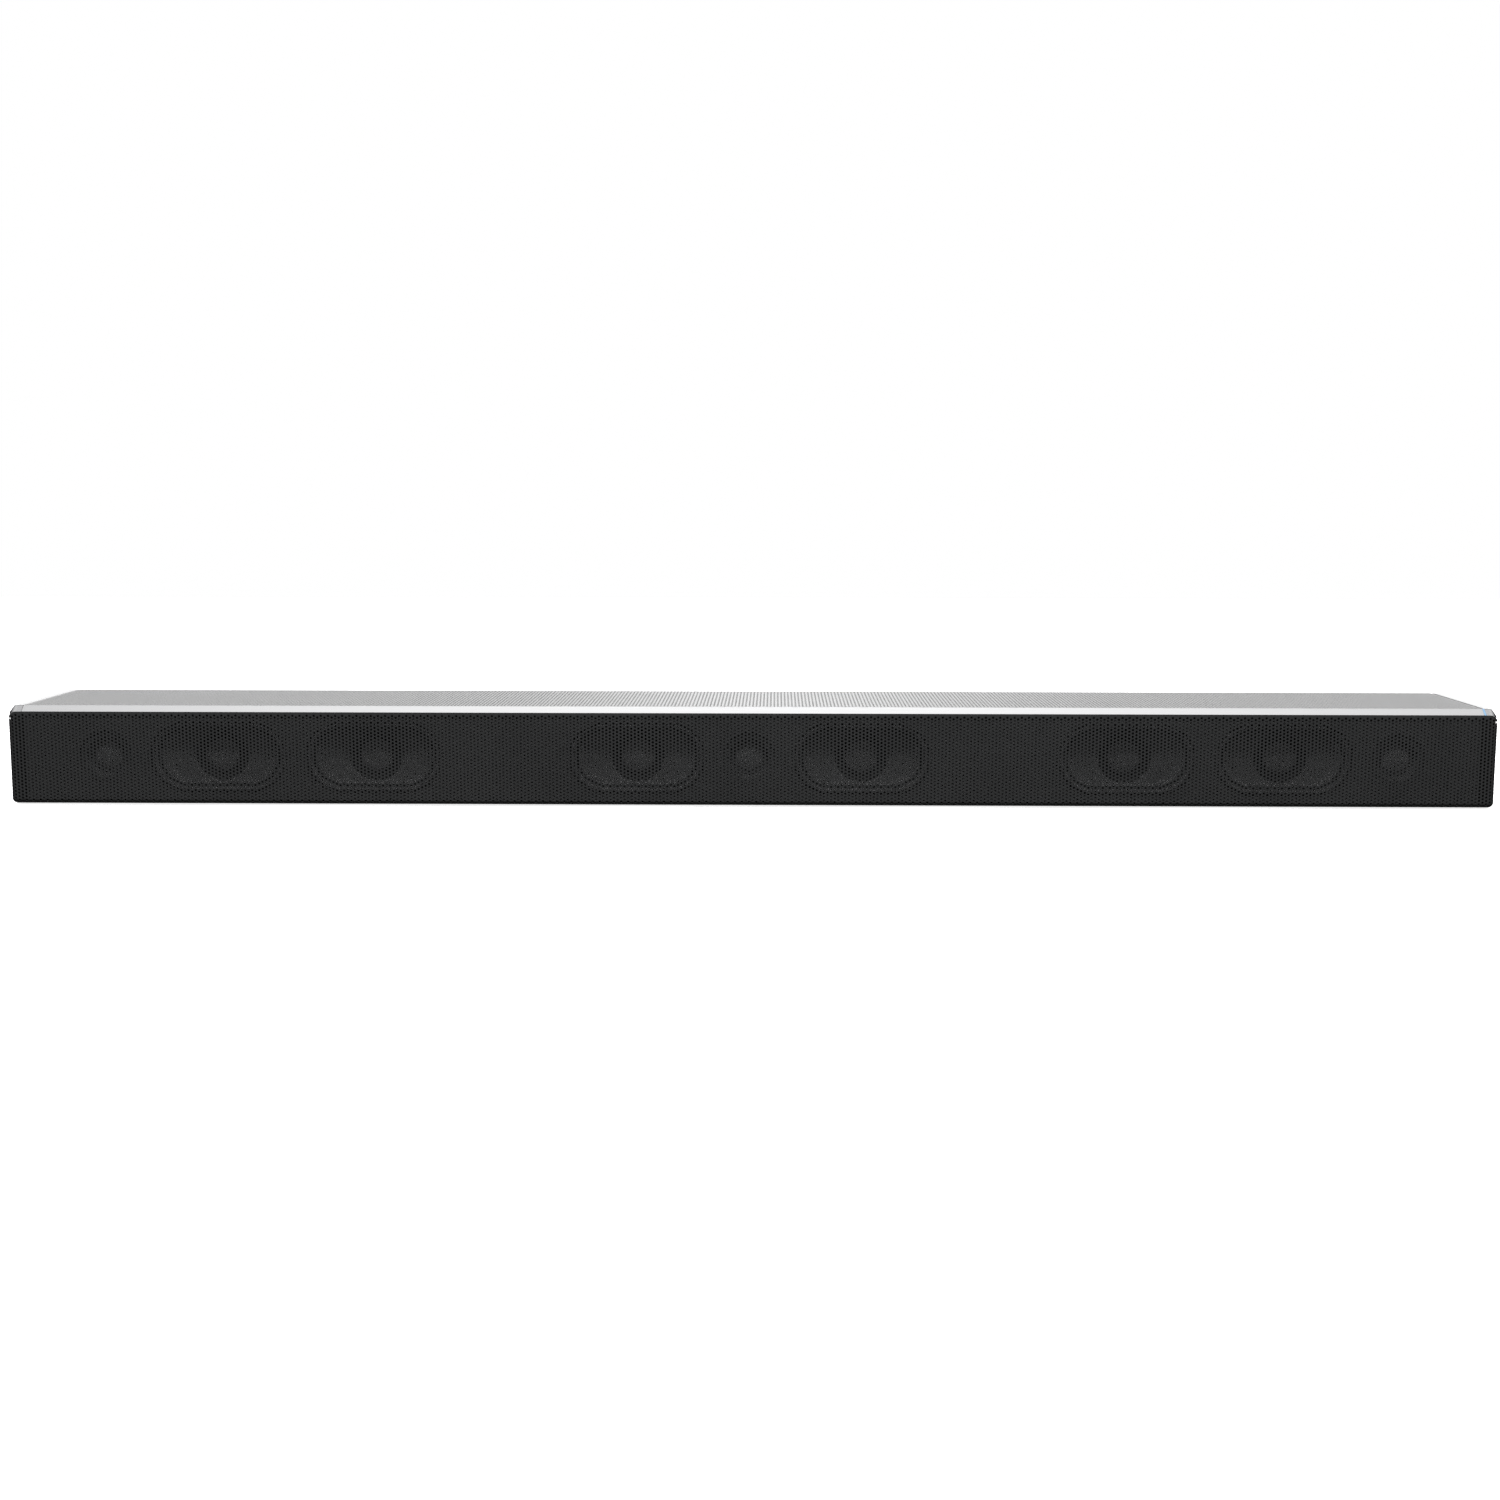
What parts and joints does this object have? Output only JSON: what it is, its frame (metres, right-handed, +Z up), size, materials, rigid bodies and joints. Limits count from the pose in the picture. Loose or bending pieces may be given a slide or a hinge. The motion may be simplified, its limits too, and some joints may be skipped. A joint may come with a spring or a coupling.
{
  "type": "soundbar",
  "caption": "Long low soundbar with perforated front and top grilles, a bevelled metal trim bar, racetrack woofers, dome tweeters and up-firing drivers inside.",
  "frame": {"origin": "middle of the footprint, on the surface the feet stand on", "axes": "+X along the bar, to the right as the listener sees it; +Y from the front grille to the rear cover; +Z up"},
  "size_m": [1.21, 0.131, 0.082],
  "materials": {
    "front_sheet": "perforated steel sheet, satin dark grey paint",
    "top_sheet": "perforated steel sheet, satin dark grey paint",
    "trim_metal": "fine brushed and anodised",
    "light_guide": "clear guide, lit pale blue",
    "gloss_black": "polished moulding",
    "baffle_grey": "fine textured moulding",
    "housing_black": "fine textured moulding",
    "foot_rubber": "matte",
    "screw_steel": "blackened",
    "insert_brass": "machined",
    "surround_rubber": "satin",
    "spider_cloth": "resin-stiffened weave",
    "magnet_iron": "zinc plated",
    "driver_plastic": "glass-filled moulding",
    "panel_grey": "fine textured moulding",
    "socket_steel": "stamped",
    "socket_plastic": "moulded",
    "board_green": "solder resist",
    "heatsink_metal": "extruded, dark anodised",
    "window_smoke": "smoked window",
    "cone_paper": "pressed fibre cone",
    "dome_silk": "coated silk",
    "button_black": "fine textured moulding"
  },
  "bodies": {
    "cabinet": {"front_grille": "front_sheet", "top_grille": "top_sheet", "top_trim": "trim_metal", "status_light": "light_guide", "left_end_cap": "gloss_black", "right_end_cap": "gloss_black", "front_baffle": "baffle_grey", "top_deck": "housing_black", "base_tray": "housing_black", "rear_cover": "housing_black", "chamber_walls": "housing_black", "feet": "foot_rubber", "housing_screws": "screw_steel", "driver_screws": "screw_steel", "wall_mount_inserts": "insert_brass", "woofer_surrounds": "surround_rubber", "spiders": "spider_cloth", "woofer_motors": "magnet_iron", "tweeter_plates": "driver_plastic", "tweeter_surrounds": "surround_rubber", "tweeter_motors": "magnet_iron", "upfiring_housings": "housing_black", "upfiring_frames": "driver_plastic", "upfiring_surrounds": "surround_rubber", "upfiring_motors": "magnet_iron", "connector_panel": "panel_grey", "hdmi_sockets": "socket_steel", "optical_socket": "socket_plastic", "aux_jack": "socket_plastic", "service_port": "socket_steel", "power_jack": "socket_plastic", "main_board": "board_green", "amplifier_board": "board_green", "heatsink": "heatsink_metal", "display_window": "window_smoke", "display_board": "board_green", "tact_switches": "socket_plastic", "button_board": "board_green", "woofer_frame_1": "driver_plastic", "woofer_frame_2": "driver_plastic", "woofer_frame_3": "driver_plastic", "woofer_frame_4": "driver_plastic", "woofer_frame_5": "driver_plastic", "woofer_frame_6": "driver_plastic"},
    "woofer_cone_1": {"woofer_cone_1": "cone_paper"},
    "woofer_cone_2": {"woofer_cone_2": "cone_paper"},
    "woofer_cone_3": {"woofer_cone_3": "cone_paper"},
    "woofer_cone_4": {"woofer_cone_4": "cone_paper"},
    "woofer_cone_5": {"woofer_cone_5": "cone_paper"},
    "woofer_cone_6": {"woofer_cone_6": "cone_paper"},
    "tweeter_dome_left": {"tweeter_dome_left": "dome_silk"},
    "tweeter_dome_centre": {"tweeter_dome_centre": "dome_silk"},
    "tweeter_dome_right": {"tweeter_dome_right": "dome_silk"},
    "upfiring_cone_left": {"upfiring_cone_left": "cone_paper"},
    "upfiring_cone_right": {"upfiring_cone_right": "cone_paper"},
    "power_button": {"power_button": "button_black"},
    "source_button": {"source_button": "button_black"},
    "volume_down_button": {"volume_down_button": "button_black"},
    "volume_up_button": {"volume_up_button": "button_black"},
    "optical_shutter": {"optical_shutter": "socket_plastic"}
  },
  "joints": [
    {"name": "woofer_1_stroke", "type": "slide", "parent": "cabinet", "child": "woofer_cone_1", "axis": [0, -1, 0], "range_m": [-0.003, 0.003], "stiffness_N_per_m": 1500, "deforming": ["woofer_surrounds", "spiders"]},
    {"name": "woofer_2_stroke", "type": "slide", "parent": "cabinet", "child": "woofer_cone_2", "axis": [0, -1, 0], "range_m": [-0.003, 0.003], "stiffness_N_per_m": 1500, "deforming": ["woofer_surrounds", "spiders"]},
    {"name": "woofer_3_stroke", "type": "slide", "parent": "cabinet", "child": "woofer_cone_3", "axis": [0, -1, 0], "range_m": [-0.003, 0.003], "stiffness_N_per_m": 1500, "deforming": ["woofer_surrounds", "spiders"]},
    {"name": "woofer_4_stroke", "type": "slide", "parent": "cabinet", "child": "woofer_cone_4", "axis": [0, -1, 0], "range_m": [-0.003, 0.003], "stiffness_N_per_m": 1500, "deforming": ["woofer_surrounds", "spiders"]},
    {"name": "woofer_5_stroke", "type": "slide", "parent": "cabinet", "child": "woofer_cone_5", "axis": [0, -1, 0], "range_m": [-0.003, 0.003], "stiffness_N_per_m": 1500, "deforming": ["woofer_surrounds", "spiders"]},
    {"name": "woofer_6_stroke", "type": "slide", "parent": "cabinet", "child": "woofer_cone_6", "axis": [0, -1, 0], "range_m": [-0.003, 0.003], "stiffness_N_per_m": 1500, "deforming": ["woofer_surrounds", "spiders"]},
    {"name": "tweeter_left_stroke", "type": "slide", "parent": "cabinet", "child": "tweeter_dome_left", "axis": [0, -1, 0], "range_m": [-0.0003, 0.0003], "stiffness_N_per_m": 1500, "deforming": ["tweeter_surrounds"]},
    {"name": "tweeter_centre_stroke", "type": "slide", "parent": "cabinet", "child": "tweeter_dome_centre", "axis": [0, -1, 0], "range_m": [-0.0003, 0.0003], "stiffness_N_per_m": 1500, "deforming": ["tweeter_surrounds"]},
    {"name": "tweeter_right_stroke", "type": "slide", "parent": "cabinet", "child": "tweeter_dome_right", "axis": [0, -1, 0], "range_m": [-0.0003, 0.0003], "stiffness_N_per_m": 1500, "deforming": ["tweeter_surrounds"]},
    {"name": "upfiring_left_stroke", "type": "slide", "parent": "cabinet", "child": "upfiring_cone_left", "axis": [0, -0.2588, 0.9659], "range_m": [-0.0025, 0.0025], "stiffness_N_per_m": 1200, "deforming": ["upfiring_surrounds", "spiders"]},
    {"name": "upfiring_right_stroke", "type": "slide", "parent": "cabinet", "child": "upfiring_cone_right", "axis": [0, -0.2588, 0.9659], "range_m": [-0.0025, 0.0025], "stiffness_N_per_m": 1200, "deforming": ["upfiring_surrounds", "spiders"]},
    {"name": "power_press", "type": "slide", "parent": "cabinet", "child": "power_button", "axis": [-1, 0, 0], "range_m": [0, 0.0008], "stiffness_N_per_m": 800},
    {"name": "source_press", "type": "slide", "parent": "cabinet", "child": "source_button", "axis": [-1, 0, 0], "range_m": [0, 0.0008], "stiffness_N_per_m": 800},
    {"name": "volume_down_press", "type": "slide", "parent": "cabinet", "child": "volume_down_button", "axis": [-1, 0, 0], "range_m": [0, 0.0008], "stiffness_N_per_m": 800},
    {"name": "volume_up_press", "type": "slide", "parent": "cabinet", "child": "volume_up_button", "axis": [-1, 0, 0], "range_m": [0, 0.0008], "stiffness_N_per_m": 800},
    {"name": "optical_shutter_swing", "type": "hinge", "parent": "cabinet", "child": "optical_shutter", "pos_m": [-0.098, 0.0414, 0.0405], "axis": [-1, 0, 0], "range_deg": [0, 80], "stiffness_Nm_per_rad": 0.0002}
  ]
}
